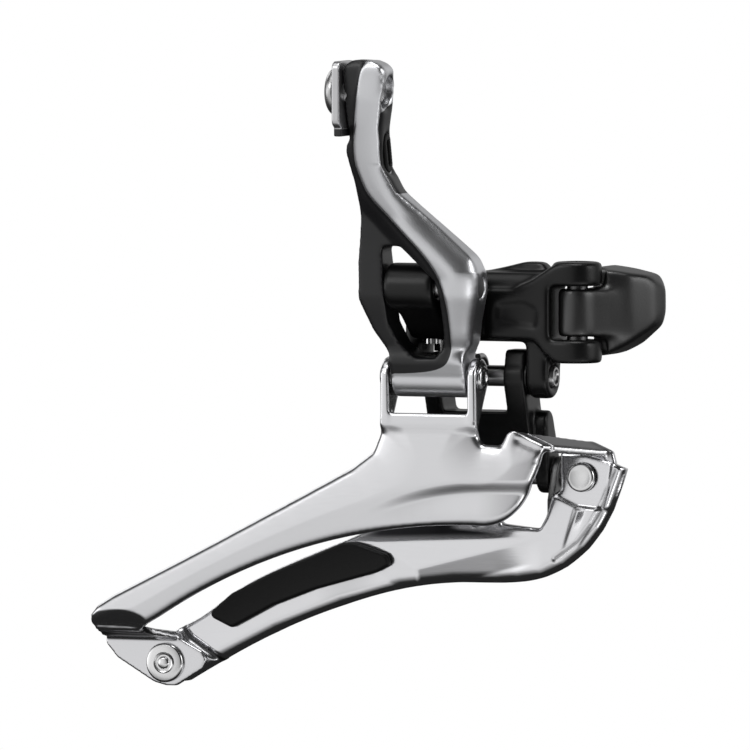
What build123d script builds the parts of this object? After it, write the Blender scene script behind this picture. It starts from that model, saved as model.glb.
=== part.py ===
from build123d import *
import os

os.makedirs("parts", exist_ok=True)

# Front derailleur, direct-mount type, in millimetres.
# The origin is the centre of the mouth of the threaded mounting hole.
# +X points forward along the hinge pins, +Y inboard to the bicycle, +Z up.
# Everything on the linkage is laid out from the lower outboard hinge axis.

# Hinge axes of the linkage, as (inboard, up) from the lower outboard hinge.
outer_up_y, outer_up_z = -5.5, 17.0
inner_up_y, inner_up_z = 9.0, 0.0
inner_low_y, inner_low_z = 15.5, -18.5
pin_r = 1.95
bore_r = 2.0
open_bore_r = 2.15
lug_r = 3.9

# Lever arm.
arm_top_z = 59.4
arm_lean = 0.3235
arm_barrel_r = 3.7
arm_bar_half = 4.2
barrel_r = 4.45
window_low_z = 3.8
window_high_z = 24.6
anchor_z = 53.4
anchor_y = -17.6

# Chain cage.
sheet = 1.4
cage_gap = 10.6
outer_face = -3.5
ring_drop = 27.3
tail_x = -67.3
tail_z = -46.3
nose_x = 23.2
inner_nose_x = 35.0
nose_rivet_x, nose_rivet_z = 26.8, -18.5
tail_rivet_x, tail_rivet_z = -55.5, -54.7
ear_rear_x = -8.6
ear_front_x = 10.3
ear_sheet = 1.7

# Body and mounting block.
body_rear_x = -7.0
body_front_x = 21.2
body_low_z = 6.5
body_high_z = 19.4
fork_x, fork_y = body_front_x + 4.8, 8.4
fork_r = 4.6
fork_low_z = 7.1
fork_high_z = 17.0
mount_x, mount_y, mount_z = fork_x + 1.0, 17.0, 12.0
mount_hole_r = 2.1
mount_hole_depth = 9.0
screw_r = 1.5

# The lower outboard hinge, seen from the mouth of the mounting hole.
low_pivot = (-mount_x, -mount_y, -mount_z)

# Working planes through the lower outboard hinge axis.
across = Plane(origin=low_pivot, x_dir=(0, 1, 0), z_dir=(1, 0, 0))
side = Plane(origin=low_pivot, x_dir=(1, 0, 0), z_dir=(0, -1, 0))
plan = Plane(origin=low_pivot, x_dir=(1, 0, 0), z_dir=(0, 0, 1))

outer_back = outer_face + sheet
inner_face = outer_back + cage_gap
inner_back = inner_face + sheet
strap_back = inner_back + sheet

# Cast body: barrel for the lever arm, main block, wing, two hinge lugs and
# the upper and lower fork arms that hold the mounting block.
with BuildPart() as base_body:
    with BuildSketch(across.offset(body_rear_x)):
        with BuildLine():
            FilletPolyline(
                (4.9, body_low_z),
                (4.9, 17.6),
                (6.4, body_high_z),
                (11.6, body_high_z),
                (13.4, 17.6),
                (13.4, body_low_z),
                radius=0.8,
                close=True,
            )
        make_face()
    extrude(amount=body_front_x - body_rear_x)
    with BuildSketch(across.offset(-5.7)):
        with Locations((outer_up_y, outer_up_z)):
            Circle(barrel_r)
    extrude(amount=9.6)
    with BuildSketch(across.offset(-4.2)):
        with BuildLine():
            Polyline(
                (-4.6, 19.0),
                (6.0, 18.4),
                (6.0, 7.0),
                (0.6, 7.0),
                (-7.8, 13.6),
                close=True,
            )
        make_face()
    extrude(amount=8.1)
    with BuildSketch(side.offset(-3.7)):
        with BuildLine():
            FilletPolyline(
                (9.6, 7.2),
                (9.6, 16.4),
                (14.8, 16.4),
                (18.4, 18.2),
                (fork_x - 3.6, 20.8),
                (fork_x - 1.8, 21.5),
                (fork_x - 0.4, 21.5),
                (fork_x - 0.4, fork_high_z),
                (fork_x - fork_r + 0.6, fork_high_z),
                (fork_x - fork_r + 0.6, fork_low_z),
                (fork_x - 0.4, fork_low_z),
                (fork_x - 0.4, 2.7),
                (fork_x - 2.8, 2.7),
                (body_front_x, 4.4),
                (19.0, 7.0),
                radius=0.35,
                close=True,
            )
        make_face()
    extrude(amount=-(fork_y + fork_r - 3.7))
    for low, high in ((2.7, fork_low_z), (fork_high_z, 21.5)):
        with BuildSketch(plan.offset(low)):
            with Locations((fork_x, fork_y)):
                Circle(fork_r)
        extrude(amount=high - low)
    with BuildSketch(side.offset(-9.4)):
        with BuildLine():
            FilletPolyline(
                (6.8, 16.0),
                (7.2, 19.4),
                (11.0, 20.2),
                (15.0, 21.2),
                (18.4, 21.2),
                (19.6, 20.0),
                (19.6, 16.0),
                radius=0.5,
                close=True,
            )
        make_face()
    extrude(amount=-4.0)
    for near, far in ((body_rear_x, -4.0), (16.8, body_front_x)):
        with BuildSketch(across.offset(near)):
            with Locations((inner_up_y, inner_up_z)):
                Circle(lug_r + 0.2)
            with BuildLine():
                Polyline(
                    (inner_up_y - lug_r - 0.2, inner_up_z),
                    (4.9, body_low_z + 1.5),
                    (13.4, body_low_z + 1.5),
                    (inner_up_y + lug_r + 0.2, inner_up_z),
                    close=True,
                )
            make_face()
        extrude(amount=far - near)
    with BuildSketch(across.offset(body_rear_x - 1)):
        with Locations((inner_up_y, inner_up_z), (outer_up_y, outer_up_z)):
            Circle(bore_r)
    extrude(amount=body_front_x - body_rear_x + 2, mode=Mode.SUBTRACT)
    with BuildSketch(plan.offset(1.0)):
        with Locations((fork_x, fork_y)):
            Circle(bore_r)
    extrude(amount=22.0, mode=Mode.SUBTRACT)
    with BuildSketch(plan.offset(body_low_z - 1)):
        with Locations((-2.0, 6.6), (-2.0, 11.6)):
            Circle(screw_r + 0.05)
    extrude(amount=body_high_z + 2 - body_low_z, mode=Mode.SUBTRACT)
    with BuildSketch(plan.offset(body_high_z - 1.2)):
        with Locations((-2.0, 6.6), (-2.0, 11.6)):
            Circle(2.35)
    extrude(amount=4.0, mode=Mode.SUBTRACT)
    with BuildSketch(side.offset(-3.0)):
        with BuildLine():
            Polyline((11.6, 10.4), (19.6, 9.2), (19.8, 12.8), (17.0, 14.2), (11.6, 13.6), close=True)
        make_face()
    extrude(amount=-1.3, mode=Mode.SUBTRACT)
base_body.part.label = "base_body"
export_step(base_body.part, "parts/base_body.step")

# Mounting block: a tongue held between the fork arms, and the pad that seats
# on the frame's mounting tab, with the blind threaded hole in its rear face.
with BuildPart() as mount_block:
    with BuildSketch(side.offset(-9.6)):
        with BuildLine():
            FilletPolyline(
                (mount_x, 3.4),
                (mount_x, 20.6),
                (mount_x + 5.6, 19.8),
                (mount_x + 10.4, 18.9),
                (mount_x + 12.4, 16.8),
                (mount_x + 12.8, 14.6),
                (mount_x + 12.6, 11.6),
                (mount_x + 11.4, 9.4),
                (mount_x + 7.2, 6.0),
                (mount_x + 3.6, 4.2),
                radius=1.0,
                close=True,
            )
        make_face()
    extrude(amount=-13.6)
    with BuildSketch(plan.offset(0)):
        with BuildLine():
            FilletPolyline(
                (mount_x + 1.6, 9.8),
                (mount_x, 13.4),
                (mount_x, 23.0),
                (mount_x + 6.0, 23.2),
                (mount_x + 11.0, 21.6),
                (mount_x + 12.7, 18.6),
                (mount_x + 11.4, 15.0),
                (mount_x + 8.0, 11.4),
                (mount_x + 4.0, 9.8),
                radius=0.9,
                close=True,
            )
        make_face()
    extrude(amount=24.0, mode=Mode.INTERSECT)
    for low, high in ((0.0, fork_low_z + 0.3), (fork_high_z - 0.3, 24.0)):
        with BuildSketch(plan.offset(low)):
            with Locations((fork_x, fork_y)):
                Circle(fork_r + 0.4)
        extrude(amount=high - low, mode=Mode.SUBTRACT)
    with BuildSketch(plan.offset(fork_low_z + 0.3)):
        with Locations((fork_x, fork_y)):
            Circle(fork_r - 1.0)
        with BuildLine():
            Polyline(
                (fork_x - 0.6, fork_y - fork_r + 1.0),
                (mount_x + 2.8, 7.3),
                (mount_x + 7.2, 11.0),
                (mount_x + 7.2, 14.0),
                (mount_x + 1.6, 14.0),
                (mount_x + 1.4, fork_y + 3.4),
                (fork_x, fork_y + 3.4),
                close=True,
            )
        make_face()
    extrude(amount=fork_high_z - fork_low_z - 0.6)
    with BuildSketch(plan.offset(0)):
        with Locations((fork_x, fork_y)):
            Circle(bore_r)
    extrude(amount=24.0, mode=Mode.SUBTRACT)
    with BuildSketch(across.offset(mount_x)):
        with Locations((mount_y, mount_z)):
            Circle(mount_hole_r)
    extrude(amount=mount_hole_depth, mode=Mode.SUBTRACT)
mount_block.part.label = "mount_block"
export_step(mount_block.part, "parts/mount_block.step")

# Upright pin through the fork arms and the tongue.
with BuildPart() as mount_pin:
    with BuildSketch(plan.offset(2.9)):
        with Locations((fork_x, fork_y)):
            Circle(pin_r)
    extrude(amount=18.4)
mount_pin.part.label = "mount_pin"
export_step(mount_pin.part, "parts/mount_pin.step")

# Lever arm: the front view outline cut to the leaning side view, with the
# window, the slot that straddles the body's barrel, and the hinge bores.
with BuildPart() as outer_link:
    with BuildSketch(side.offset(26.0)):
        with BuildLine():
            FilletPolyline(
                (-6.5, -arm_barrel_r - 0.5),
                (-6.5, 4.4),
                (-9.2, 8.9),
                (-11.2, 14.5),
                (-10.8, 22.0),
                (-9.6, 30.0),
                (-9.6, 36.0),
                (-10.6, 41.8),
                (-10.4, 43.4),
                (-9.5, 44.5),
                (-9.5, 57.2),
                (-8.8, 58.6),
                (-7.4, arm_top_z),
                (-3.2, arm_top_z - 0.1),
                (-1.7, arm_top_z - 0.7),
                (-0.8, 57.6),
                (-0.8, 54.6),
                (-2.8, 47.0),
                (-3.2, 40.0),
                (-1.2, 35.0),
                (11.6, 22.6),
                (12.6, 19.6),
                (12.2, 16.0),
                (10.6, 11.0),
                (9.6, 6.6),
                (8.2, 4.4),
                (8.2, -arm_barrel_r - 0.5),
                radius=0.45,
                close=True,
            )
        make_face()
    extrude(amount=-34.0)
    with BuildSketch(across.offset(-14.0)):
        Circle(arm_barrel_r)
        with BuildLine():
            FilletPolyline(
                (-arm_barrel_r, 0.0),
                (-9.9, 15.4),
                (-11.6, 22.6),
                (-13.2, 30.0),
                (-anchor_z * arm_lean - 3.4, anchor_z - 1.0),
                (-arm_top_z * arm_lean - 2.9, arm_top_z + 0.6),
                (-arm_top_z * arm_lean + 2.6, arm_top_z + 0.6),
                (-anchor_z * arm_lean + 3.4, anchor_z - 1.0),
                (-7.6, 31.0),
                (-4.2, 25.0),
                (-1.5, 17.0),
                (arm_barrel_r, 0.0),
                radius=0.9,
                close=True,
            )
        make_face()
    extrude(amount=30.0, mode=Mode.INTERSECT)
    with BuildSketch(side.offset(26.0)):
        with BuildLine():
            FilletPolyline(
                (-6.0, window_high_z),
                (-2.2, window_high_z),
                (4.3, 18.2),
                (5.1, 14.6),
                (5.1, 9.6),
                (4.6, 5.6),
                (2.8, window_low_z),
                (-1.4, window_low_z),
                (-4.4, 6.6),
                (-6.0, 10.4),
                radius=0.9,
                close=True,
            )
        make_face()
    extrude(amount=-34.0, mode=Mode.SUBTRACT)
    with BuildSketch(side.offset(9.7)):
        with Locations((-0.5, outer_up_z)):
            Rectangle(11.0, 10.4)
    extrude(amount=-14.0, mode=Mode.SUBTRACT)
    with BuildSketch(across.offset(-14.0)):
        with Locations((outer_up_y, outer_up_z)):
            Circle(bore_r)
        Circle(bore_r)
    extrude(amount=30.0, mode=Mode.SUBTRACT)
    with BuildSketch(across.offset(-14.0)):
        with Locations((anchor_y, anchor_z)):
            Circle(2.55)
    extrude(amount=16.0, mode=Mode.SUBTRACT)
    with BuildSketch(across.offset(-3.4)):
        with Locations((anchor_y, anchor_z)):
            Circle(2.9)
    extrude(amount=6.0, mode=Mode.SUBTRACT)
    with BuildSketch(across.offset(-4.4)):
        with Locations((-13.6, 42.0)):
            SlotOverall(7.6, 3.2, rotation=104)
    extrude(amount=4.0, mode=Mode.SUBTRACT)
outer_link.part.label = "outer_link"
export_step(outer_link.part, "parts/outer_link.step")

# Insert that steers the cable, seated in the slot of the arm's front flank.
with BuildPart() as cable_converter:
    with BuildSketch(across.offset(-4.4)):
        with Locations((-13.6, 42.0)):
            SlotOverall(7.4, 3.0, rotation=104)
    extrude(amount=1.5)
    with BuildSketch(across.offset(-3.6)):
        with Locations((-13.6, 42.0)):
            SlotOverall(5.0, 1.2, rotation=104)
    extrude(amount=1.0, mode=Mode.SUBTRACT)
cable_converter.part.label = "cable_converter"
export_step(cable_converter.part, "parts/cable_converter.step")

# Clamp plate with a rounded groove for the cable, behind the arm's top.
plate_x = -9.5
clamp_sheet = 1.5
with BuildPart() as cable_plate:
    with BuildSketch(across.offset(plate_x - clamp_sheet)):
        with Locations((anchor_y, anchor_z - 0.4)):
            RectangleRounded(9.4, 12.2, 1.4)
        with Locations((anchor_y, anchor_z)):
            Circle(2.55, mode=Mode.SUBTRACT)
    extrude(amount=clamp_sheet)
    with BuildSketch(plan.offset(40.0)):
        with Locations((plate_x, anchor_y + 3.4)):
            Circle(0.65)
    extrude(amount=22.0, mode=Mode.SUBTRACT)
    with BuildSketch(side.offset(3.5 - anchor_y)):
        with Locations((plate_x - 0.75, anchor_z - 7.1)):
            Rectangle(clamp_sheet, 2.2)
    extrude(amount=-7.0)
cable_plate.part.label = "cable_plate"
export_step(cable_plate.part, "parts/cable_plate.step")

# Domed clamp bolt with a hexagon socket, through the plate and the arm.
with BuildPart() as cable_bolt:
    with BuildSketch(across.offset(plate_x - clamp_sheet - 1.9)):
        with Locations((anchor_y, anchor_z)):
            Circle(4.5)
    extrude(amount=1.9)
    fillet(cable_bolt.edges().group_by(Axis.X)[0], 1.4)
    with BuildSketch(across.offset(plate_x - clamp_sheet)):
        with Locations((anchor_y, anchor_z)):
            Circle(2.5)
    extrude(amount=8.2)
    with BuildSketch(across.offset(plate_x - clamp_sheet - 1.9)):
        with Locations((anchor_y, anchor_z)):
            RegularPolygon(2.3, 6)
    extrude(amount=1.6, mode=Mode.SUBTRACT)
cable_bolt.part.label = "cable_bolt"
export_step(cable_bolt.part, "parts/cable_bolt.step")

# Hinge pins. The two on the lever arm run in the body and in the cage ears.
with BuildPart() as outer_upper_pin:
    with BuildSketch(across.offset(-10.6)):
        with Locations((outer_up_y, outer_up_z)):
            Circle(pin_r)
    extrude(amount=22.2)
outer_upper_pin.part.label = "outer_upper_pin"
export_step(outer_upper_pin.part, "parts/outer_upper_pin.step")

with BuildPart() as outer_lower_pin:
    with BuildSketch(across.offset(ear_rear_x - 0.7)):
        Circle(pin_r)
    extrude(amount=ear_front_x - ear_rear_x + 1.6)
    with BuildSketch(across.offset(ear_rear_x - 0.7)):
        Circle(pin_r + 0.4)
    extrude(amount=0.7)
    with BuildSketch(across.offset(ear_front_x)):
        Circle(pin_r + 0.3)
    extrude(amount=0.6)
outer_lower_pin.part.label = "outer_lower_pin"
export_step(outer_lower_pin.part, "parts/outer_lower_pin.step")

with BuildPart() as inner_upper_pin:
    with BuildSketch(across.offset(body_rear_x - 0.5)):
        with Locations((inner_up_y, inner_up_z)):
            Circle(pin_r)
    extrude(amount=body_front_x - body_rear_x + 0.9)
inner_upper_pin.part.label = "inner_upper_pin"
export_step(inner_upper_pin.part, "parts/inner_upper_pin.step")

# Inner link: a casting with two upper lugs round the spring and two lower
# lugs on the cage's hinge bracket. The square heel meets the limit screws.
with BuildPart() as inner_link:
    with BuildSketch(across.offset(-3.7)):
        with Locations((inner_up_y, inner_up_z)):
            Circle(lug_r)
        with Locations((inner_low_y, inner_low_z)):
            Circle(lug_r - 0.4)
        make_hull()
    extrude(amount=20.2)
    with BuildSketch(across.offset(-3.7)):
        with BuildLine():
            Polyline((5.1, 0.0), (5.1, 4.2), (12.9, 4.2), (12.9, 0.0), close=True)
        make_face()
    extrude(amount=3.4)
    with BuildSketch(across.offset(12.4)):
        with BuildLine():
            FilletPolyline((5.1, -1.0), (6.4, 5.0), (11.6, 5.0), (12.9, -1.0), radius=0.8, close=True)
        make_face()
    extrude(amount=4.1)
    with BuildSketch(across.offset(16.5)):
        with Locations((inner_low_y, inner_low_z)):
            Circle(lug_r - 0.4)
        with Locations((12.6, -8.6)):
            Circle(2.2)
        make_hull()
    extrude(amount=2.6)
    with BuildSketch(side.offset(0)):
        with Locations((6.05, 1.0)):
            Rectangle(12.7, 15.2)
        with Locations((7.75, -19.0)):
            Rectangle(16.7, 11.4)
    extrude(amount=-24.0, mode=Mode.SUBTRACT)
    with BuildSketch(across.offset(-10.0)):
        with Locations((inner_up_y, inner_up_z)):
            Circle(bore_r)
        with Locations((inner_low_y, inner_low_z)):
            Circle(open_bore_r)
    extrude(amount=32.0, mode=Mode.SUBTRACT)
inner_link.part.label = "inner_link"
export_step(inner_link.part, "parts/inner_link.step")

# Thrust washer between the inner link and the body's front lug.
with BuildPart() as thrust_washer:
    with BuildSketch(across.offset(16.52)):
        with Locations((inner_up_y, inner_up_z)):
            Circle(3.4)
            Circle(bore_r, mode=Mode.SUBTRACT)
    extrude(amount=0.26)
thrust_washer.part.label = "thrust_washer"
export_step(thrust_washer.part, "parts/thrust_washer.step")

# Return spring coiled round the inner upper pin, with a leg at each end.
spring_r = 3.6
wire_r = 0.55
spring_x = 0.6
spring_turns = 4
spring_pitch = 1.55
spring_start = (
    low_pivot[0] + spring_x,
    low_pivot[1] + inner_up_y,
    low_pivot[2] + inner_up_z,
)
with BuildPart() as return_spring:
    with BuildLine() as coil:
        Helix(spring_pitch, spring_pitch * spring_turns, spring_r, center=spring_start, direction=(1, 0, 0))
    with BuildSketch(Plane(origin=coil.line @ 0, z_dir=coil.line % 0)):
        Circle(wire_r)
    sweep(path=coil.line)
    with BuildSketch(Plane(origin=coil.line @ 0, z_dir=coil.line % 0)):
        Circle(wire_r)
    extrude(amount=-2.6)
    with BuildSketch(Plane(origin=coil.line @ 1, z_dir=coil.line % 1)):
        Circle(wire_r)
    extrude(amount=2.4)
return_spring.part.label = "return_spring"
export_step(return_spring.part, "parts/return_spring.step")

# Limit screws: cheese heads with a cross slot, tips over the link's heel.
with BuildPart() as low_limit_screw:
    with BuildSketch(plan.offset(4.3)):
        with Locations((-2.0, 11.6)):
            Circle(screw_r)
    extrude(amount=body_high_z - 5.4)
    with BuildSketch(plan.offset(body_high_z - 1.1)):
        with Locations((-2.0, 11.6)):
            Circle(2.2)
    extrude(amount=1.8)
    with BuildSketch(plan.offset(body_high_z)):
        with Locations((-2.0, 11.6)):
            Rectangle(3.0, 0.6)
            Rectangle(0.6, 3.0)
    extrude(amount=1.0, mode=Mode.SUBTRACT)
low_limit_screw.part.label = "low_limit_screw"
export_step(low_limit_screw.part, "parts/low_limit_screw.step")

with BuildPart() as high_limit_screw:
    with BuildSketch(plan.offset(5.9)):
        with Locations((-2.0, 6.6)):
            Circle(screw_r)
    extrude(amount=body_high_z - 7.0)
    with BuildSketch(plan.offset(body_high_z - 1.1)):
        with Locations((-2.0, 6.6)):
            Circle(2.2)
    extrude(amount=1.8)
    with BuildSketch(plan.offset(body_high_z)):
        with Locations((-2.0, 6.6)):
            Rectangle(3.0, 0.6)
            Rectangle(0.6, 3.0)
    extrude(amount=1.0, mode=Mode.SUBTRACT)
high_limit_screw.part.label = "high_limit_screw"
export_step(high_limit_screw.part, "parts/high_limit_screw.step")

# Outer cage plate: pressed sheet with two hinge ears, the bridge over the
# nose with its return flange, and the tail tab that crosses to the inner plate.
with BuildPart() as outer_plate:
    with BuildSketch(side.offset(-outer_face)):
        with BuildLine():
            top_edge = FilletPolyline(
                (nose_x, -12.0),
                (17.2, -9.4),
                (15.8, -10.2),
                (14.6, -12.3),
                (11.2, -12.3),
                (ear_front_x, -11.0),
                (ear_front_x, -6.6),
                (ear_rear_x, -6.6),
                (-8.9, -10.2),
                (-10.4, -13.9),
                (-14.6, -17.0),
                (-24.4, -22.2),
                (-44.3, -32.6),
                (-62.3, -41.7),
                (-65.4, -43.6),
                (tail_x + 0.3, tail_z + 0.8),
                (tail_x, tail_z - 0.8),
                (-66.2, -48.3),
                (-64.4, -48.6),
                (-58.6, -48.6),
                (-53.2, -45.5),
                radius=0.6,
            )
            ThreePointArc((-53.2, -45.5), (-20.5, -31.0), (9.3, -ring_drop))
            Spline(
                (9.3, -ring_drop),
                (12.6, -27.2),
                (15.6, -26.0),
                (18.4, -23.4),
                (20.6, -19.5),
                (22.6, -14.8),
                (nose_x, -12.0),
            )
        make_face()
    extrude(amount=-sheet)
    for near in (ear_rear_x, ear_front_x - ear_sheet):
        with BuildSketch(across.offset(near)):
            Circle(arm_barrel_r)
            with Locations((outer_face + 0.7, -8.0)):
                Rectangle(sheet, 4.0)
            make_hull()
        extrude(amount=ear_sheet)
    with BuildSketch(side.offset(-outer_face)):
        Polygon((17.2, -9.4), (nose_x, -12.0), (22.9, -13.4), (16.6, -10.9), align=None)
    with BuildSketch(side.offset(-strap_back)):
        Polygon((28.2, -11.9), (32.4, -13.7), (32.2, -15.1), (27.8, -13.4), align=None)
    loft()
    with BuildSketch(side.offset(-inner_back)):
        with BuildLine():
            FilletPolyline(
                (25.0, -12.6),
                (28.2, -11.9),
                (32.4, -13.7),
                (33.2, -17.0),
                (31.0, -22.0),
                (27.0, -23.4),
                (23.4, -21.4),
                (22.8, -15.2),
                radius=0.6,
                close=True,
            )
        make_face()
    extrude(amount=-sheet)
    with BuildSketch(side.offset(-outer_face)):
        Polygon((-66.7, -48.4), (-58.6, -48.6), (-58.0, -47.2), (-66.9, -47.0), align=None)
    with BuildSketch(side.offset(-inner_face)):
        Polygon((-67.4, -50.4), (-52.0, -50.4), (-52.6, -49.0), (-67.2, -48.9), align=None)
    loft()
    with BuildSketch(side.offset(-(inner_face - sheet))):
        with BuildLine():
            FilletPolyline(
                (-67.4, -49.4),
                (-67.4, -51.4),
                (-65.2, -54.0),
                (-57.9, -58.4),
                (-55.6, -59.0),
                (-53.4, -59.0),
                (-48.2, -55.8),
                (-47.3, -54.1),
                (-48.1, -52.6),
                (-54.5, -49.2),
                radius=0.5,
                close=True,
            )
        make_face()
    extrude(amount=-sheet)
    with BuildSketch(across.offset(ear_rear_x - 1)):
        Circle(bore_r)
    extrude(amount=ear_front_x - ear_rear_x + 2, mode=Mode.SUBTRACT)
    with BuildSketch(side.offset(0)):
        with Locations((nose_rivet_x, nose_rivet_z)):
            Circle(1.65)
        with Locations((tail_rivet_x, tail_rivet_z)):
            Circle(1.65)
    extrude(amount=-14.0, mode=Mode.SUBTRACT)
outer_plate.part.label = "outer_plate"
export_step(outer_plate.part, "parts/outer_plate.step")

# Inner cage plate, with the tower that carries the hinge bracket.
with BuildPart() as inner_plate:
    with BuildSketch(side.offset(-inner_face)):
        with BuildLine():
            FilletPolyline(
                (-8.2, -22.8),
                (8.4, -22.8),
                (10.8, -27.5),
                (18.4, -28.2),
                (19.6, -26.0),
                (20.9, -21.7),
                (22.3, -21.0),
                (22.3, -13.9),
                (27.0, -14.2),
                (32.8, -15.7),
                (inner_nose_x, -16.8),
                radius=0.5,
            )
            Spline(
                (inner_nose_x, -16.8),
                (34.5, -18.9),
                (32.4, -24.1),
                (30.2, -28.2),
                (27.3, -31.9),
                (23.1, -35.3),
                (18.6, -37.4),
                (13.6, -38.4),
                (1.0, -38.8),
                (-9.4, -40.1),
                (-21.1, -43.4),
                (-34.2, -48.6),
                (-44.7, -54.0),
                (-52.0, -58.2),
            )
            FilletPolyline(
                (-52.0, -58.2),
                (-56.0, -58.6),
                (-59.4, -55.6),
                (-58.6, -51.6),
                (-52.7, -47.9),
                radius=0.5,
            )
            Spline(
                (-52.7, -47.9),
                (-47.0, -44.7),
                (-42.2, -41.2),
                (-34.0, -36.9),
                (-25.9, -33.5),
                (-20.2, -31.2),
                (-15.4, -29.0),
                (-11.0, -26.0),
                (-8.2, -22.8),
            )
        make_face()
    extrude(amount=-sheet)
    with BuildSketch(side.offset(-inner_face + 1)):
        with Locations((nose_rivet_x, nose_rivet_z), (tail_rivet_x, tail_rivet_z)):
            Circle(1.65)
        with Locations((-2.0, -25.7), (5.0, -25.7)):
            Circle(1.25)
    extrude(amount=-4.0, mode=Mode.SUBTRACT)
inner_plate.part.label = "inner_plate"
export_step(inner_plate.part, "parts/inner_plate.step")

# Resin skid pad bonded on the chain side of the inner plate.
with BuildPart() as skid_pad:
    with BuildSketch(side.offset(-(inner_face - 1.5))):
        with BuildLine():
            FilletPolyline(
                (-46.8, -45.2),
                (-42.4, -41.5),
                (-34.0, -37.3),
                (-25.9, -34.0),
                (-20.3, -31.6),
                (-18.0, -31.4),
                (-11.4, -33.6),
                (-10.6, -35.5),
                (-13.4, -37.0),
                (-25.9, -40.5),
                (-34.0, -43.6),
                (-42.3, -48.0),
                (-46.2, -46.2),
                radius=1.0,
                close=True,
            )
        make_face()
    extrude(amount=-1.5)
    chamfer(skid_pad.faces().sort_by(Axis.Y)[0].edges(), 0.4)
skid_pad.part.label = "skid_pad"
export_step(skid_pad.part, "parts/skid_pad.step")

# Bracket behind the inner plate, with the two ears of the lower inner hinge.
with BuildPart() as hinge_bracket:
    with BuildSketch(side.offset(-inner_back)):
        with BuildLine():
            FilletPolyline(
                (-5.3, -22.9),
                (8.0, -22.9),
                (10.4, -28.0),
                (18.8, -28.7),
                (19.8, -26.4),
                (19.8, -23.0),
                (21.4, -23.0),
                (23.0, -25.4),
                (23.6, -30.0),
                (20.0, -32.6),
                (-3.0, -32.6),
                (-5.3, -30.0),
                radius=0.5,
                close=True,
            )
        make_face()
    extrude(amount=-sheet)
    for near in (-5.3, 19.4):
        with BuildSketch(across.offset(near)):
            with Locations((inner_low_y, inner_low_z)):
                Circle(lug_r - 0.4)
            with Locations((inner_back + 0.7, -25.0)):
                Rectangle(sheet, 4.2)
            make_hull()
        extrude(amount=1.4)
    with BuildSketch(across.offset(-9.0)):
        with Locations((inner_low_y, inner_low_z)):
            Circle(bore_r)
    extrude(amount=32.0, mode=Mode.SUBTRACT)
    with BuildSketch(side.offset(-inner_back + 1)):
        with Locations((-2.0, -25.7), (5.0, -25.7)):
            Circle(1.25)
    extrude(amount=-4.0, mode=Mode.SUBTRACT)
    with BuildSketch(side.offset(-inner_back)):
        with Locations((8.0, -22.0)):
            Rectangle(40.0, 30.0)
    extrude(amount=4.0, mode=Mode.SUBTRACT)
hinge_bracket.part.label = "hinge_bracket"
export_step(hinge_bracket.part, "parts/hinge_bracket.step")

with BuildPart() as inner_lower_pin:
    with BuildSketch(across.offset(-5.9)):
        with Locations((inner_low_y, inner_low_z)):
            Circle(pin_r)
    extrude(amount=27.3)
    for near in (-5.9, 20.8):
        with BuildSketch(across.offset(near)):
            with Locations((inner_low_y, inner_low_z)):
                Circle(pin_r + 0.4)
        extrude(amount=0.6)
inner_lower_pin.part.label = "inner_lower_pin"
export_step(inner_lower_pin.part, "parts/inner_lower_pin.step")

# Rivets that hold the bracket to the inner plate.
with BuildPart() as bracket_rivets:
    for x in (-2.0, 5.0):
        with BuildSketch(side.offset(-(inner_face - 0.5))):
            with Locations((x, -25.7)):
                Circle(1.9)
        extrude(amount=-0.5)
        with BuildSketch(side.offset(-inner_face)):
            with Locations((x, -25.7)):
                Circle(1.2)
        extrude(amount=-2.0 * sheet)
        with BuildSketch(side.offset(-strap_back)):
            with Locations((x, -25.7)):
                Circle(1.9)
        extrude(amount=-0.6)
bracket_rivets.part.label = "bracket_rivets"
export_step(bracket_rivets.part, "parts/bracket_rivets.step")

# Nose rivet through the inner plate and the bridge's return flange.
with BuildPart() as nose_rivet:
    with BuildSketch(side.offset(-(inner_face - 0.9))):
        with Locations((nose_rivet_x, nose_rivet_z)):
            Circle(2.75)
    extrude(amount=-0.9)
    fillet(nose_rivet.edges().sort_by(Axis.Y)[0], 0.4)
    with BuildSketch(side.offset(-inner_face)):
        with Locations((nose_rivet_x, nose_rivet_z)):
            Circle(1.6)
    extrude(amount=-2.0 * sheet)
    with BuildSketch(side.offset(-strap_back)):
        with Locations((nose_rivet_x, nose_rivet_z)):
            Circle(2.4)
    extrude(amount=-0.8)
nose_rivet.part.label = "nose_rivet"
export_step(nose_rivet.part, "parts/nose_rivet.step")

# Tail rivet and the washer under its head.
tail_face = inner_face - sheet
with BuildPart() as tail_washer:
    with BuildSketch(side.offset(-(tail_face - 0.9))):
        with Locations((tail_rivet_x, tail_rivet_z)):
            Circle(3.7)
            Circle(1.65, mode=Mode.SUBTRACT)
    extrude(amount=-0.9)
    fillet(tail_washer.edges().group_by(Axis.Y)[0].sort_by(SortBy.LENGTH)[-1], 0.3)
tail_washer.part.label = "tail_washer"
export_step(tail_washer.part, "parts/tail_washer.step")

with BuildPart() as tail_rivet:
    with BuildSketch(side.offset(-(tail_face - 1.3))):
        with Locations((tail_rivet_x, tail_rivet_z)):
            Circle(1.6)
    extrude(amount=-(1.3 + 2.0 * sheet))
    with BuildSketch(side.offset(-(tail_face - 1.5))):
        with Locations((tail_rivet_x, tail_rivet_z)):
            Circle(1.85)
    extrude(amount=-0.6)
    with BuildSketch(side.offset(-inner_back)):
        with Locations((tail_rivet_x, tail_rivet_z)):
            Circle(2.6)
    extrude(amount=-0.8)
tail_rivet.part.label = "tail_rivet"
export_step(tail_rivet.part, "parts/tail_rivet.step")
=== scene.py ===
import math
import bmesh
import bpy
import numpy as np
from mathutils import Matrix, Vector
from mathutils.kdtree import KDTree


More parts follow.
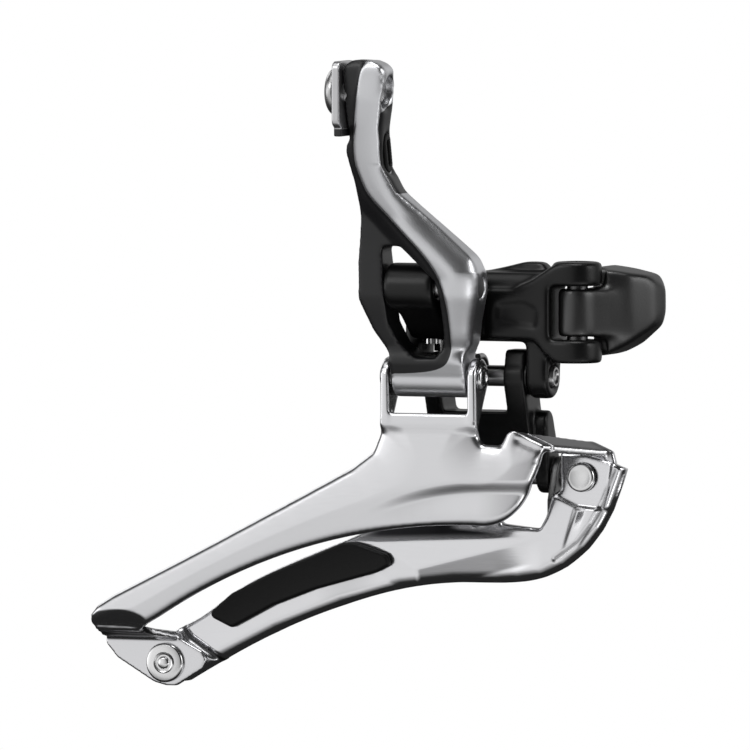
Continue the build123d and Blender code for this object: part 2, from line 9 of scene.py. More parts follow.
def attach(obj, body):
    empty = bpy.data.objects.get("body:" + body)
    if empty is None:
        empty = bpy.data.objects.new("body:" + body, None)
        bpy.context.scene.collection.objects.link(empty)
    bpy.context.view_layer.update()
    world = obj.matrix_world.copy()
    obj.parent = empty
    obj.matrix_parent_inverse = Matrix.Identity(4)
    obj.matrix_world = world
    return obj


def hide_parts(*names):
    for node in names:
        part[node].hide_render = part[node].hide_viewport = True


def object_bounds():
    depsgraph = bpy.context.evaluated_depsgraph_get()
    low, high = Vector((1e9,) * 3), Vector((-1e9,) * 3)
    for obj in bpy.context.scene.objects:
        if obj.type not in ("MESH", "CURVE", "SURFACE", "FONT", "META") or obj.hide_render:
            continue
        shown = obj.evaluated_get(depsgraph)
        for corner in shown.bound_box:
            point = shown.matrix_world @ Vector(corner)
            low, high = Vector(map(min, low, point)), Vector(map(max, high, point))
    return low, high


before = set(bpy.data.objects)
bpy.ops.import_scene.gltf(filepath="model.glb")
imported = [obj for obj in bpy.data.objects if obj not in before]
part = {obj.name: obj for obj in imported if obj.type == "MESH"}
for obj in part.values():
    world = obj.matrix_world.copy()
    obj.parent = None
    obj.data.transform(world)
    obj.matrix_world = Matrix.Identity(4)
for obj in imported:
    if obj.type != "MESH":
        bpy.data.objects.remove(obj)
cad_low, cad_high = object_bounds()

# The studio: a camera level with the derailleur, ahead of it and to the drive side,
# a glowing floor below it (painted light), and large soft lights round it.
azimuth, elevation = math.radians(21.0), math.radians(3.0)
to_right = Vector((math.cos(azimuth), math.sin(azimuth), 0.0))
to_camera = Vector((
    math.sin(azimuth) * math.cos(elevation),
    -math.cos(azimuth) * math.cos(elevation),
    math.sin(elevation),
))
to_top = to_camera.cross(to_right)
zero_x, zero_y, zero_z = 27.0, 17.0, 12.0  # the frame's zero, in mm from the lower outer hinge
low_hinge = Vector((-zero_x, -zero_y, -zero_z)) / 1000.0
aim = low_hinge - to_right * 0.01019 + to_top * 0.00037
camera_distance = 4.0
camera = bpy.data.objects.new("camera", bpy.data.cameras.new("camera"))
camera.data.lens = 1036.7
camera.data.sensor_width = 36.0
camera.data.clip_start = 0.01
camera.data.clip_end = 20.0
camera.location = aim + to_camera * camera_distance
camera.rotation_mode = "QUATERNION"
camera.rotation_quaternion = (-to_camera).to_track_quat("-Z", "Y")
bpy.context.scene.collection.objects.link(camera)
bpy.context.scene.camera = camera
bpy.context.scene.view_settings.view_transform = "Standard"


class Wire:
    """A shader socket that takes part in sums like a number."""

    def __init__(self, tree, socket):
        self.tree, self.socket = tree, socket

    def sum(self, operation, *values, clamp=False):
        node = self.tree.nodes.new("ShaderNodeMath")
        node.operation, node.use_clamp = operation, clamp
        for place, value in zip(node.inputs, values):
            if isinstance(value, Wire):
                self.tree.links.new(value.socket, place)
            else:
                place.default_value = value
        return Wire(self.tree, node.outputs[0])

    def __add__(self, other): return self.sum("ADD", self, other)
    def __radd__(self, other): return self.sum("ADD", other, self)
    def __sub__(self, other): return self.sum("SUBTRACT", self, other)
    def __rsub__(self, other): return self.sum("SUBTRACT", other, self)
    def __mul__(self, other): return self.sum("MULTIPLY", self, other)
    def __rmul__(self, other): return self.sum("MULTIPLY", other, self)

    def above(self, level, soft):
        """0 below the level and 1 above it, with a soft step between."""
        return self.sum("MULTIPLY_ADD", self, 1 / soft, 0.5 - level / soft, clamp=True)


class Shader:
    """A node tree that is filled by asking for one node at a time."""

    def __init__(self, tree):
        self.tree = tree
        tree.nodes.clear()

    def add(self, kind, inputs=None, out=0, **settings):
        node = self.tree.nodes.new("ShaderNode" + kind)
        for key, value in settings.items():
            setattr(node, key, value)
        for key, value in (inputs or {}).items():
            if isinstance(value, Wire):
                self.tree.links.new(value.socket, node.inputs[key])
            else:
                node.inputs[key].default_value = value
        return Wire(self.tree, node.outputs[out]) if len(node.outputs) else None

    def blend(self, share, a, b):
        node = self.tree.nodes.new("ShaderNodeMix")
        node.data_type = "RGBA"
        for place, value in ((node.inputs[0], share), (node.inputs[6], a), (node.inputs[7], b)):
            if isinstance(value, Wire):
                self.tree.links.new(value.socket, place)
            else:
                place.default_value = value
        return Wire(self.tree, node.outputs[2])


def plain_white(s, output, kind, level):
    """White where it is looked at, and its own grey level where it lights the metal."""
    grey = s.add(kind, {"Color": s.add("CombineColor", {0: level, 1: level, 2: level})})
    white = s.add(kind, {"Color": (1.0, 1.0, 1.0, 1.0)})
    looked_at = s.add("LightPath", out=0)
    s.add(output, {"Surface": s.add("MixShader", {0: looked_at, 1: grey, 2: white})})


world = bpy.data.worlds.new("studio")
bpy.context.scene.world = world
world.use_nodes = True
sky = Shader(world.node_tree)
heading = sky.add("TexCoord", out=0)
front = Vector((to_camera.x, to_camera.y, 0.0)).normalized()
up = Vector((0.0, 0.0, 1.0))


def panel(direction, inner, outer, power):
    """A round soft panel of light, far off in one direction."""
    facing = sky.add(
        "VectorMath", {0: heading, 1: tuple(direction.normalized())}, out=1,
        operation="DOT_PRODUCT")
    near, far = math.cos(math.radians(inner)), math.cos(math.radians(outer))
    return facing.above((near + far) / 2, near - far) * power


dim_room = 0.035
panels = [
    panel(front - to_right * 1.35 - up * 0.05, 2, 46, 0.92),
    panel(front * 0.3 + up - to_right * 0.2, 12, 30, 1.8),
    panel(-to_right + front * 0.1 + up * 0.1, 10, 26, 1.2),
    panel(to_right + front * 0.35 + up * 0.15, 12, 28, 1.5),
    panel(-front + to_right * 0.35 + up * 0.45, 14, 44, 0.4),
    panel(-front - to_right * 0.9 + up * 0.1, 10, 34, 0.16),
    panel(-front * 0.8 + to_right * 1.1 + up * 0.1, 8, 36, 0.42),
]
plain_white(sky, "OutputWorld", "Background", sum(panels[1:], panels[0]) + dim_room)

floor_radius, floor_drop = 0.45, 0.09
floor_shape = bmesh.new()
bmesh.ops.create_circle(floor_shape, cap_ends=True, segments=96, radius=floor_radius)
bmesh.ops.translate(
    floor_shape, verts=floor_shape.verts, vec=(0.0, 0.0, cad_low.z - floor_drop))
floor_mesh = bpy.data.meshes.new("floor")
floor_shape.to_mesh(floor_mesh)
floor_shape.free()
floor = bpy.data.objects.new("floor", floor_mesh)
bpy.context.scene.collection.objects.link(floor)
floor_glow = bpy.data.materials.new("glowing_floor")
floor_glow.use_nodes = True
sweep = Shader(floor_glow.node_tree)
ahead = sweep.add(
    "VectorMath", {0: sweep.add("TexCoord", out=3), 1: tuple(front)}, out=1,
    operation="DOT_PRODUCT")
# Painted light: the floor glows, white to the camera, and bright ahead of the derailleur and
# dim behind it where it lights the metal.
plain_white(sweep, "OutputMaterial", "Emission", ahead.above(0.13, 0.16) * 0.85 + 0.02)
floor_mesh.materials.append(floor_glow)

for place, size, power in (
    (front * 0.45 - to_right * 0.5 + up * 0.4, 0.3, 0.9),
    (up * 0.6 + front * 0.15, 0.3, 0.9),
    (to_right * 0.55 + front * 0.3 + up * 0.2, 0.2, 0.35),
    (to_right * 0.13 + front * 0.16 - up * 0.125, 0.05, 0.022),
    (-front * 0.5 - to_right * 0.4 + up * 0.4, 0.3, 0.5),
):
    soft = bpy.data.lights.new("soft_light", "AREA")
    soft.size, soft.energy = size, power
    lamp = bpy.data.objects.new("soft_light", soft)
    lamp.visible_camera = False
    lamp.location = aim + place
    lamp.rotation_mode = "QUATERNION"
    lamp.rotation_quaternion = place.to_track_quat("Z", "Y")
    bpy.context.scene.collection.objects.link(lamp)


# Body, mounting block and inner link: aluminium castings, painted satin
# black. The block swings in the body's fork until it is bolted to the frame.
def spot(x, y, z):
    """A place given in millimetres from the lower outer hinge."""
    return Vector((x - zero_x, y - zero_y, z - zero_z)) / 1000.0


def numbers(shape):
    """Vertex places in millimetres from the lower outer hinge, as three arrays."""
    table = np.array([v.co for v in shape.verts]) * 1000.0
    return table[:, 0] + zero_x, table[:, 1] + zero_y, table[:, 2] + zero_z


def pushed(shape, shift):
    """Moves the skin by the given millimetres across the cage."""
    for v, move in zip(shape.verts, shift):
        v.co.y += move / 1000.0


def smoothed(shape, verts, passes):
    """Evens out the given vertices of a skin."""
    for _ in range(passes):
        bmesh.ops.smooth_vert(
            shape, verts=verts, factor=0.5, use_axis_x=True, use_axis_y=True, use_axis_z=True)


def finished(name, shape, material, body, node, sharp=0.0):
    """Makes a piece of a bmesh, gives it its finish and hangs it on its body."""
    mesh = bpy.data.meshes.new(name)
    shape.to_mesh(mesh)
    shape.free()
    mesh.materials.append(material)
    for face in mesh.polygons:
        face.material_index = 0
    mesh.shade_smooth()
    if sharp:
        mesh.set_sharp_from_angle(angle=math.radians(sharp))
    piece = bpy.data.objects.new(name, mesh)
    bpy.context.scene.collection.objects.link(piece)
    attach(piece, body)
    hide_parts(node)


def cast_from(node, voxel, passes):
    """The CAD shape as one skin of even squares, with every edge softened."""
    merged = bmesh.new()
    merged.from_mesh(part[node].data)
    bmesh.ops.remove_doubles(merged, verts=merged.verts, dist=1e-6)
    rough = bpy.data.meshes.new("rough")
    merged.to_mesh(rough)
    merged.free()
    blank = bpy.data.objects.new("rough", rough)
    bpy.context.scene.collection.objects.link(blank)
    skin = blank.modifiers.new("skin", "REMESH")
    skin.mode, skin.voxel_size = "VOXEL", voxel / 1000.0
    grid = bpy.context.evaluated_depsgraph_get()
    mesh = bpy.data.meshes.new_from_object(blank.evaluated_get(grid))
    bpy.data.objects.remove(blank)
    shape = bmesh.new()
    shape.from_mesh(mesh)
    bpy.data.meshes.remove(mesh)
    smoothed(shape, shape.verts, passes)
    return shape


def black_paint(name, shade, rough, grain, gloss):
    """Satin black with a fine orange peel and faint greyer clouds."""
    paint = bpy.data.materials.new(name)
    paint.use_nodes = True
    s = Shader(paint.node_tree)
    place = s.add("TexCoord", out=3)
    peel = s.add("TexNoise", {
        "Vector": place, "Scale": 2400.0, "Detail": 3.0, "Roughness": 0.55})
    cloud = s.add("TexNoise", {"Vector": place, "Scale": 130.0, "Detail": 4.0})
    deep = (shade, shade, shade * 1.05, 1.0)
    greyer = (shade * 1.7, shade * 1.7, shade * 1.75, 1.0)
    s.add("OutputMaterial", {"Surface": s.add("BsdfPrincipled", {
        "Base Color": s.blend(cloud.above(0.55, 0.5), deep, greyer),
        "Roughness": rough - 0.04 + cloud * 0.09 + peel * 0.05,
        "Specular IOR Level": gloss,
        "Normal": s.add("Bump", {"Height": peel, "Strength": 0.35, "Distance": grain})})})
    return paint


cast_black = black_paint("cast_black", 0.003, 0.3, 0.00003, 0.34)
block_black = black_paint("block_black", 0.003, 0.34, 0.00003, 1.0)
finished(
    "body_casting", cast_from("base_body", 0.32, 20), cast_black,
    "base", "base_body")
block = cast_from("mount_block", 0.32, 34)
x, y, z = numbers(block)
near_side = np.clip((y.max() - y) / (y.max() - y.min()), 0.0, 1.0)
end_sweep = 0.017 * np.clip(x - 28.5, 0.0, None) ** 2
edge_sweep = 0.012 * (z - 17.5) ** 2 * np.clip((x - 24.0) / 8.0, 0.0, 1.0)
pushed(block, near_side * (end_sweep + edge_sweep))
finished("mount_casting", block, block_black, "base", "mount_block")
finished(
    "inner_link_casting", cast_from("inner_link", 0.28, 9), cast_black,
    "inner_arm", "inner_link")


# Lever arm: a forged aluminium arm, silver down its front rib and along the
# hinge, black in the sculpted field round the window and on its upper flank.
def reach(x, z, line, closed=True):
    """Distance to a line in the front view, negative inside when it is closed."""
    ends = line[1:] + line[:1] if closed else line[1:]
    best = np.full(x.shape, 1e9)
    inside = np.zeros(x.shape, bool)
    for (ax, az), (bx, bz) in zip(line, ends):
        rx, rz = bx - ax, bz - az
        t = np.clip(((x - ax) * rx + (z - az) * rz) / (rx * rx + rz * rz), 0.0, 1.0)
        best = np.minimum(best, np.hypot(x - ax - rx * t, z - az - rz * t))
        if closed and abs(rz) > 1e-9:
            inside ^= ((az > z) != (bz > z)) & (x < ax + rx * (z - az) / rz)
    return np.where(inside, -best, best)


def ease(value, low, high):
    """Runs smoothly from 0 at low to 1 at high."""
    t = np.clip((value - low) / (high - low), 0.0, 1.0)
    return t * t * (3.0 - 2.0 * t)


def fade(value, low, high):
    """Runs smoothly from 1 at low to 0 at high."""
    return 1.0 - ease(value, low, high)


def rounded(line):
    """Cuts a closed line's corners twice, so that it runs smoothly."""
    for _ in range(2):
        line = [
            (a[0] + (b[0] - a[0]) * t, a[1] + (b[1] - a[1]) * t)
            for a, b in zip(line, line[1:] + line[:1])
            for t in (0.25, 0.75)
        ]
    return line


def marked(shape, name, values):
    """Writes one number on every vertex, for the finish to read."""
    layer = shape.verts.layers.float.new(name)
    for v, value in zip(shape.verts, values):
        v[layer] = float(value)


silver_edge = rounded([
    (-3.6, 64.0), (-4.4, 59.1), (-5.8, 57.0), (-6.8, 52.2), (-7.8, 47.7), (-8.9, 40.9),
    (-7.9, 37.1), (-6.9, 34.2), (-3.9, 30.8), (-0.3, 26.7), (2.2, 24.0), (4.4, 21.0),
    (5.8, 18.0), (6.5, 15.0), (6.7, 11.6), (6.5, 7.7), (6.1, 4.4), (4.6, 2.0), (0.0, 0.9),
    (-9.0, 0.6), (-14.0, -8.0), (20.0, -8.0), (20.0, 64.0),
])
rib_edge = rounded([
    (-1.2, 66.0), (-0.8, 57.6), (-0.8, 54.6), (-2.8, 47.0), (-3.2, 40.0), (-1.2, 35.0),
    (11.6, 22.6), (12.6, 19.6), (12.2, 16.0), (10.6, 11.0), (9.6, 6.6), (8.2, 4.4),
    (8.2, -8.0), (30.0, -8.0), (30.0, 66.0),
])
arm = cast_from("outer_link", 0.3, 5)
x, y, z = numbers(arm)
facing = np.array([v.normal for v in arm.verts])
face_y = -0.3235 * z - 3.6  # the near face leans out towards the top
near_face = np.clip(1.0 - (y - face_y) / 6.8, 0.0, 1.0) * ease(z, 2.5, 6.0)
from_rib = np.abs(reach(x, z, rib_edge))
crown = 0.9 + 2.7 * fade(z, 27.0, 38.0)
bend = np.clip(1.0 - from_rib / (crown * 1.35), 0.0, 1.0)
beyond = reach(x, z, silver_edge)
scoop = 0.9 * ease(beyond, 0.6, 4.0) * ease(z, 12.0, 26.0) * fade(z, 38.0, 46.0)
step_in = 0.5 * ease(beyond, -0.2, 0.5) + scoop
top_roll = 0.7 * ease(z, 56.8, 59.6) ** 2
barrel = 0.017 * (np.clip(from_rib, 0.0, 9.0) - 1.8) ** 2 * (1.0 - 0.6 * ease(z, 44.0, 50.0))
pushed(arm, near_face * (crown * 0.62 * bend * bend + barrel + step_in + top_roll))
smoothed(arm, arm.verts, 2)
rib = [v for v, far, high in zip(arm.verts, beyond, z) if far < -0.9 and 5.5 < high < 57.0]
smoothed(arm, rib, 16)
ridge = [v for v, far, high in zip(arm.verts, from_rib, z) if far < 3.0 and 20.0 < high < 40.0]
side = [
    v for v, turned_right, high in zip(arm.verts, facing[:, 0], z)
    if turned_right > 0.1 and high > 38.0
]
for _ in range(24):
    smoothed(arm, ridge, 1)
    smoothed(arm, side, 1)
# Black: the field inside the silver edge, the front flank up to a slanting end, and
# everything that faces the back or the rear.
slant = 50.5 - z + (y + 17.0) * 0.35
flank = np.minimum(np.minimum((facing[:, 0] - 0.45) * 3.0, slant * 0.8), (z - 34.5) * 0.8)
field = np.maximum(np.maximum(beyond, (facing[:, 1] - 0.5) * 3.0), flank)
field = np.maximum(field, (-facing[:, 0] - 0.62) * 3.0)
marked(arm, "field", np.clip(field, -2.0, 2.0))

arm_finish = bpy.data.materials.new("silver_and_black_arm")
arm_finish.use_nodes = True
s = Shader(arm_finish.node_tree)
place = s.add("TexCoord", out=3)
blasted = s.add("TexNoise", {"Vector": place, "Scale": 3200.0, "Detail": 2.0})
cloud = s.add("TexNoise", {"Vector": place, "Scale": 120.0, "Detail": 4.0})
black = s.add("Attribute", out=2, attribute_name="field").above(0.0, 0.1)
silver_tone = s.blend(cloud, (0.64, 0.645, 0.665, 1.0), (0.74, 0.745, 0.765, 1.0))
black_tone = s.blend(cloud, (0.006, 0.006, 0.007, 1.0), (0.012, 0.012, 0.013, 1.0))
s.add("OutputMaterial", {"Surface": s.add("BsdfPrincipled", {
    "Base Color": s.blend(black, silver_tone, black_tone),
    "Metallic": 1.0 - black,
    "Roughness": 0.30 + cloud * 0.06 + black * 0.04,
    "Normal": s.add("Bump", {"Height": blasted, "Strength": 0.3, "Distance": 0.00003})})})
finished("lever_arm_forging", arm, arm_finish, "lever_arm", "outer_link")


# Chain cage: two plates of pressed steel, plated bright and brushed along
# their length. The outer one is bent over into hinge ears, bridge and tail tab.
nose_x, nose_z = 26.8, -18.5  # the nose rivet's centre
tail_x, tail_z = -55.5, -54.7  # the tail rivet's centre


def bright_plate(name, tint, rough, slope):
    """Plated steel: long fine brush lines, faint clouds, and painted shade where a per-vertex
    value darkens the colour almost to black.
    """
    metal = bpy.data.materials.new(name)
    metal.use_nodes = True
    s = Shader(metal.node_tree)
    place = s.add("TexCoord", out=3)
    along = s.add("Mapping", {
        "Vector": place, "Rotation": (0.0, math.radians(slope), 0.0),
        "Scale": (160.0, 4200.0, 4200.0)})
    lines = s.add("TexNoise", {"Vector": along, "Scale": 1.0, "Detail": 3.0, "Roughness": 0.6})
    cloud = s.add("TexNoise", {"Vector": place, "Scale": 90.0, "Detail": 3.0})
    duller = (tint * 0.88, tint * 0.88, tint * 0.905, 1.0)
    brighter = (tint, tint, tint * 1.02, 1.0)
    tone = s.blend(lines * 0.6 + cloud * 0.4, duller, brighter)
    # Painted shade: the per-vertex value darkens the colour almost to black and makes it
    # rougher.
    painted_shade = s.add("Attribute", out=2, attribute_name="painted_shade")
    s.add("OutputMaterial", {"Surface": s.add("BsdfPrincipled", {
        "Base Color": s.blend(painted_shade, tone, (0.012, 0.012, 0.014, 1.0)),
        "Metallic": 1.0,
        "Roughness": rough - 0.05 + lines * 0.1 + cloud * 0.04 + painted_shade * 0.2,
        "Normal": s.add("Bump", {"Height": lines, "Strength": 0.22, "Distance": 0.00003})})})
    return metal


def turned_away(shape):
    """Picks the vertices on a sheet's cut edge, not on its two faces."""
    return np.abs(np.array([v.normal.y for v in shape.verts])) < 0.5


def to_rim(x, z, rim):
    """Distance of every vertex from the sheet's cut edge, in the front view."""
    cut = np.nonzero(rim)[0]
    tree = KDTree(len(cut))
    for i in cut:
        tree.insert((x[i], 0.0, z[i]), int(i))
    tree.balance()
    return np.array([tree.find((u, 0.0, w))[2] for u, w in zip(x, z)])


def round_over(distance, radius):
    """Height of a rounded edge: 0 at the rim and 1 from one radius in."""
    return np.sqrt(np.clip(1.0 - np.clip(1.0 - distance / radius, 0.0, 1.0) ** 2, 0.0, 1.0))


def below(x, z, a, b):
    """How far a place lies under the line from a to b, which runs to the right."""
    rx, rz = b[0] - a[0], b[1] - a[1]
    return ((x - a[0]) * rz - (z - a[1]) * rx) / math.hypot(rx, rz)


plate_steel = bright_plate("brushed_plate", 0.76, 0.2, 27.0)
outer = cast_from("outer_plate", 0.26, 3)
x, y, z = numbers(outer)
blade = ease(-y, 0.6, 2.0) * fade(z, -11.0, -8.5)
edge = to_rim(x, z, turned_away(outer) & (y < 0.0) & (z < -6.0))
broad = np.clip(1.0 - edge / 9.0, 0.0, 1.0) ** 2
arc = np.where(x < 13.0, -20.0 - 0.0085 * (x - 13.0) ** 2, -20.0)
dish = ease(x, -16.0, 6.0) * (ease(arc - z, -1.3, 1.4) - 0.65 * ease(arc - z, 0.9, 6.5))
tip = np.clip(-44.3 - 0.04 * (x + 62.0) ** 2 - z, 0.0, 4.0) * fade(x, -57.2, -55.4)
face_shift = blade * (0.45 * (1.0 - round_over(edge, 1.3)) + broad + 0.85 * dish)
pushed(outer, face_shift + 0.66 * tip * fade(y, -1.0, 5.0))
smoothed(outer, outer.verts, 2)
bridge = [v for v, right, high in zip(outer.verts, x, z) if right > 12.5 and high > -15.5]
smoothed(outer, bridge, 5)
# Painted shade: the top of the bridge and the corner under the tail tip are marked dark.
tops = np.array([v.normal.z for v in outer.verts])
bridge_top_shade = ease(tops, 0.5, 0.85) * ease(x, 13.0, 16.0) * ease(z, -16.0, -13.0)
shade_under_tip = ease(z, -50.4, -49.2) * fade(z, -46.6, -45.6)
shade_under_tip = shade_under_tip * fade(x, -57.0, -55.0) * ease(y, -3.4, -1.6)
marked(outer, "painted_shade", np.clip(np.maximum(0.62 * bridge_top_shade, 0.8 * shade_under_tip), 0.0, 1.0))
finished("outer_cage_plate", outer, plate_steel, "cage", "outer_plate")

inner_steel = bright_plate("brushed_inner_plate", 0.80, 0.16, 20.0)
inner = cast_from("inner_plate", 0.22, 3)
x, y, z = numbers(inner)
off_nose = np.hypot(x - nose_x, z - nose_z) > 2.4
off_tail = np.hypot(x - tail_x, z - tail_z) > 2.4
edge = to_rim(x, z, turned_away(inner) & off_nose & off_tail)
under = reach(x, z, [
    (35.0, -16.8), (32.4, -24.1), (30.2, -28.2), (27.3, -31.9), (23.1, -35.3),
    (18.6, -37.4), (13.6, -38.4), (1.0, -38.8), (-9.4, -40.1), (-21.1, -43.4),
    (-34.2, -48.6), (-44.7, -54.0), (-52.0, -58.2),
], False)
roll = 1.7 * (1.0 - round_over(under, 2.3)) + 0.35 * (1.0 - round_over(edge, 0.9))
boss = reach(x, z, [
    (21.0, -9.0), (21.0, -21.8), (25.7, -23.9), (30.9, -24.3), (32.4, -17.5), (33.4, -9.0),
])
first = 0.12 * np.clip(below(x, z, (-14.0, -31.6), (-5.8, -36.3)), 0.0, 5.0)
second = 0.34 * np.clip(below(x, z, (-5.8, -36.3), (16.2, -30.7)), 0.0, 4.0)
facet = np.where(x < -5.8, first, second * fade(x, 9.0, 19.0)) * ease(x, -26.0, -14.0)
taper = np.clip((z + 32.6) / 7.0, 0.0, 1.0) * fade(z, -24.7, -24.1)
# Painted shade: dark lines along the two flutes.
flutes, painted_shade = 0.0, 0.0
for foot, head in (((22.9, -32.6), (25.7, -23.9)), ((25.3, -32.8), (30.6, -24.3))):
    right = below(x, z, foot, head)
    hollow = ease(right, -0.25, 0.2) * np.clip(1.0 - right / 2.1, 0.0, 1.0)
    flutes = flutes + 0.55 * taper * hollow
    shade_mark = ease(taper, 0.05, 0.3) * fade(np.abs(right), 0.05, 0.4)
    painted_shade = np.maximum(painted_shade, 0.7 * shade_mark)
lip = reach(x, z, [
    (33.3, -17.2), (31.0, -23.0), (28.6, -27.3), (25.8, -30.7), (21.5, -33.9),
], False)
joggle = reach(x, z, [(-53.2, -47.6), (-51.1, -50.1), (-45.6, -53.8), (-43.5, -55.4)], False)
steps = 0.3 * fade(lip, 0.05, 0.6) + 0.6 * fade(joggle, 0.2, 0.9)
over = -below(x, z, (-13.0, -31.2), (18.0, -29.9))
across = ease(x, -22.0, -13.0) * fade(x, 7.0, 17.0)
leaning = 0.4 * np.clip(over, 0.0, 2.8) * across
upper_end = ease(over + (x - 3.0) * 0.12, 1.5, 2.1) * ease(x, 0.0, 3.0)
# Painted shade: a dark band under the outer plate's lower edge, and dark lines in the joggle,
# round the boss and along the lip.
for shade_mark in (
    0.97 * ease(over, -0.5, 1.3) * across * (1.0 - 0.9 * upper_end),
    0.92 * fade(joggle, 0.15, 0.75),
    0.6 * fade(np.abs(boss - 0.1), 0.05, 0.4),
    0.5 * fade(lip, 0.05, 0.45),
):
    painted_shade = np.maximum(painted_shade, shade_mark)
pushed(inner, leaning + roll + 0.5 * fade(boss, -0.25, 0.45) + facet + flutes + steps)
marked(inner, "painted_shade", np.clip(painted_shade, 0.0, 1.0))
smoothed(inner, inner.verts, 2)
finished("inner_cage_plate", inner, inner_steel, "cage", "inner_plate")

resin = black_paint("moulded_resin", 0.004, 0.48, 0.00008, 0.24)
finished(
    "skid_pad_moulding", cast_from("skid_pad", 0.2, 4), resin,
    "cage", "skid_pad")


# Small steel: pins, rivets, screws, washers, clamp plate, spring and bracket,
# each turned or pressed, and plated. The cable guide's resin insert is here too.
def plain_steel(name, tint, rough):
    """Plated steel with faint clouds and a fine grain."""
    metal = bpy.data.materials.new(name)
    metal.use_nodes = True
    s = Shader(metal.node_tree)
    place = s.add("TexCoord", out=3)
    cloud = s.add("TexNoise", {"Vector": place, "Scale": 420.0, "Detail": 4.0})
    fine = s.add("TexNoise", {"Vector": place, "Scale": 3600.0, "Detail": 2.0})
    duller, brighter = (tint * 0.86, tint * 0.86, tint * 0.87, 1.0), (tint, tint, tint, 1.0)
    s.add("OutputMaterial", {"Surface": s.add("BsdfPrincipled", {
        "Base Color": s.blend(cloud, duller, brighter),
        "Metallic": 1.0,
        "Roughness": rough - 0.03 + cloud * 0.08,
        "Normal": s.add("Bump", {"Height": fine, "Strength": 0.2, "Distance": 0.00002})})})
    return metal


def turned(outline, axis, centre):
    """Spins a closed outline of (radius, place along the axis) round X or Y."""
    shape = bmesh.new()
    line = [
        shape.verts.new((place, radius, 0.0) if axis == "X" else (radius, place, 0.0))
        for radius, place in outline
    ]
    edges = [shape.edges.new(pair) for pair in zip(line, line[1:])]
    way = (1.0, 0.0, 0.0) if axis == "X" else (0.0, 1.0, 0.0)
    bmesh.ops.spin(
        shape, geom=line + edges, axis=way, cent=(0.0, 0.0, 0.0), angle=math.tau,
        steps=56, use_merge=True)
    bmesh.ops.remove_doubles(shape, verts=shape.verts, dist=1e-4)
    bmesh.ops.recalc_face_normals(shape, faces=shape.faces)
    bmesh.ops.scale(shape, verts=shape.verts, vec=(0.001, 0.001, 0.001))
    bmesh.ops.translate(shape, verts=shape.verts, vec=spot(*centre))
    return shape


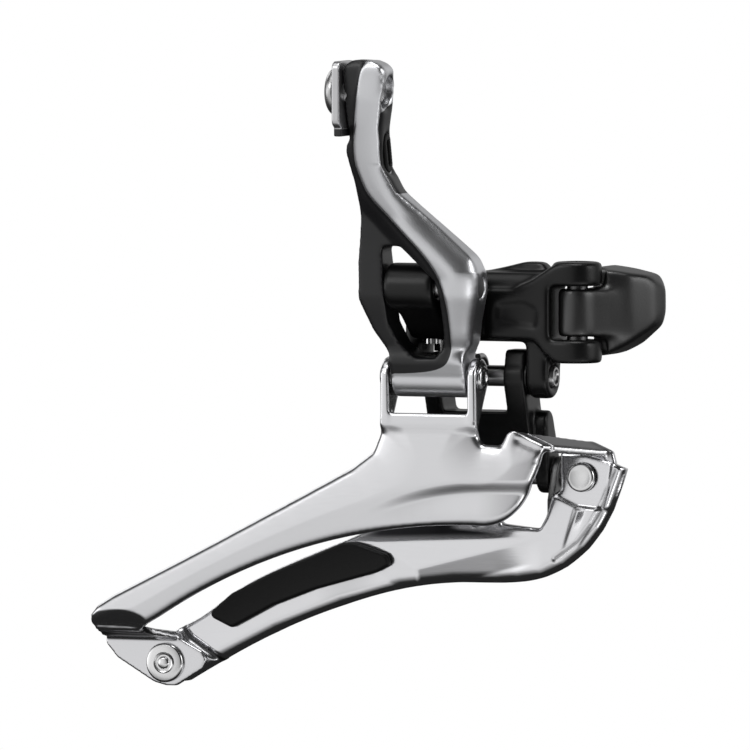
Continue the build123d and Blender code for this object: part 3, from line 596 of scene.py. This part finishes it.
pin_steel = plain_steel("pin_plating", 0.80, 0.18)
worn_steel = plain_steel("clamp_plating", 0.52, 0.3)
rib_silver = plain_steel("rib_silver", 0.72, 0.3)
for name, node, metal, body, axis, centre, outline in (
    ("tail_washer_disc", "tail_washer", pin_steel, "cage", "Y", (tail_x, 0.0, tail_z), [
        (1.7, 7.1), (1.7, 6.3), (1.8, 6.2), (3.25, 6.2), (3.55, 6.32), (3.7, 6.6),
        (3.7, 7.1), (1.7, 7.1)]),
    ("tail_rivet_body", "tail_rivet", pin_steel, "cage", "Y", (tail_x, 0.0, tail_z), [
        (0.0, 5.7), (0.8, 5.74), (1.12, 5.9), (1.22, 6.15), (1.5, 6.15), (1.6, 5.93),
        (1.8, 5.86), (2.0, 5.98), (2.0, 6.2), (1.6, 6.2), (1.6, 9.9), (2.6, 9.9),
        (2.6, 10.3), (2.2, 10.7), (0.0, 10.7)]),
    ("nose_rivet_body", "nose_rivet", pin_steel, "cage", "Y", (nose_x, 0.0, nose_z), [
        (0.0, 7.66), (1.9, 7.62), (2.1, 7.55), (2.45, 7.6), (2.68, 7.78), (2.75, 8.05),
        (2.75, 8.5), (1.6, 8.5), (1.6, 11.3), (2.4, 11.3), (2.4, 11.8), (2.0, 12.1),
        (0.0, 12.1)]),
    ("outer_lower_pin_body", "outer_lower_pin", pin_steel, "cage", "X", (0.0, 0.0, 0.0), [
        (0.0, -9.3), (1.7, -9.3), (2.15, -9.15), (2.35, -8.9), (2.35, -8.6), (1.95, -8.6),
        (1.95, 10.3), (2.25, 10.3), (2.25, 10.6), (2.05, 10.85), (1.7, 10.9),
        (1.35, 10.8), (1.2, 10.6), (0.0, 10.6)]),
    ("inner_upper_pin_body", "inner_upper_pin", worn_steel, "base", "X", (0.0, 9.0, 0.0), [
        (0.0, -7.5), (1.7, -7.5), (1.95, -7.25), (1.95, 21.3), (1.75, 21.6), (1.4, 21.6),
        (1.15, 21.2), (0.0, 21.1)]),
    ("outer_upper_pin_body", "outer_upper_pin", rib_silver, "lever_arm", "X",
     (0.0, -5.5, 17.0), [
         (0.0, -10.6), (1.7, -10.6), (1.95, -10.35), (1.95, 12.0), (1.85, 12.1),
         (0.0, 12.1)]),
):
    finished(name, turned(outline, axis, centre), metal, body, node, sharp=45.0)

bolt = cast_from("cable_bolt", 0.17, 2)
core, head_end = spot(0.0, -17.6, 53.4), spot(-8.6, 0.0, 0.0)
thinned = 0.75  # so that the shank does not show through the arm's hollowed face
for v in bolt.verts:
    if v.co.x > head_end.x:
        v.co.y = core.y + (v.co.y - core.y) * thinned
        v.co.z = core.z + (v.co.z - core.z) * thinned
finished("cable_clamp_bolt", bolt, worn_steel, "anchor_bolt", "cable_bolt")

# Painted shade: below this height the clamp plate is coloured near black and not metallic, in
# place of the dark reflection on its tongue.
lip_height = 34.6  # in millimetres above the frame's zero
lip_shaded = bpy.data.materials.new("clamp_plate_with_shaded_lip")
lip_shaded.use_nodes = True
s = Shader(lip_shaded.node_tree)
place = s.add("TexCoord", out=3)
cloud = s.add("TexNoise", {"Vector": place, "Scale": 420.0, "Detail": 4.0})
lip = 1.0 - (s.add("SeparateXYZ", {0: place}, out=2) * 1000.0).above(lip_height, 0.15)
plated = s.blend(cloud, (0.5, 0.5, 0.51, 1.0), (0.6, 0.6, 0.61, 1.0))
s.add("OutputMaterial", {"Surface": s.add("BsdfPrincipled", {
    "Base Color": s.blend(lip, plated, (0.008, 0.008, 0.009, 1.0)),
    "Metallic": 1.0 - lip,
    "Roughness": 0.27 + cloud * 0.08 + lip * 0.1})})
dark_bracket = plain_steel("dark_plating", 0.16, 0.36)
spring_wire = plain_steel("spring_wire", 0.34, 0.3)
for name, node, voxel, passes, finish, body, slot in (
    ("cable_clamp_plate", "cable_plate", 0.17, 3, lip_shaded, "lever_arm", "pin_steel"),
    ("hinge_bracket_pressing", "hinge_bracket", 0.25, 3, dark_bracket, "cage", "dark_plate"),
    ("cable_guide_insert", "cable_converter", 0.15, 2, resin, "lever_arm", "black_resin"),
):
    finished(name, cast_from(node, voxel, passes), finish, body, node)
for node, finish in (
    # The thrust washers take the black cast paint, as painted shade in the gap of the body's
    # fork.
    ("mount_pin", dark_bracket), ("thrust_washer", cast_black),
    ("low_limit_screw", pin_steel), ("high_limit_screw", pin_steel),
    ("inner_lower_pin", pin_steel), ("bracket_rivets", pin_steel),
    ("return_spring", spring_wire),
):
    part[node].data.materials.clear()
    part[node].data.materials.append(finish)
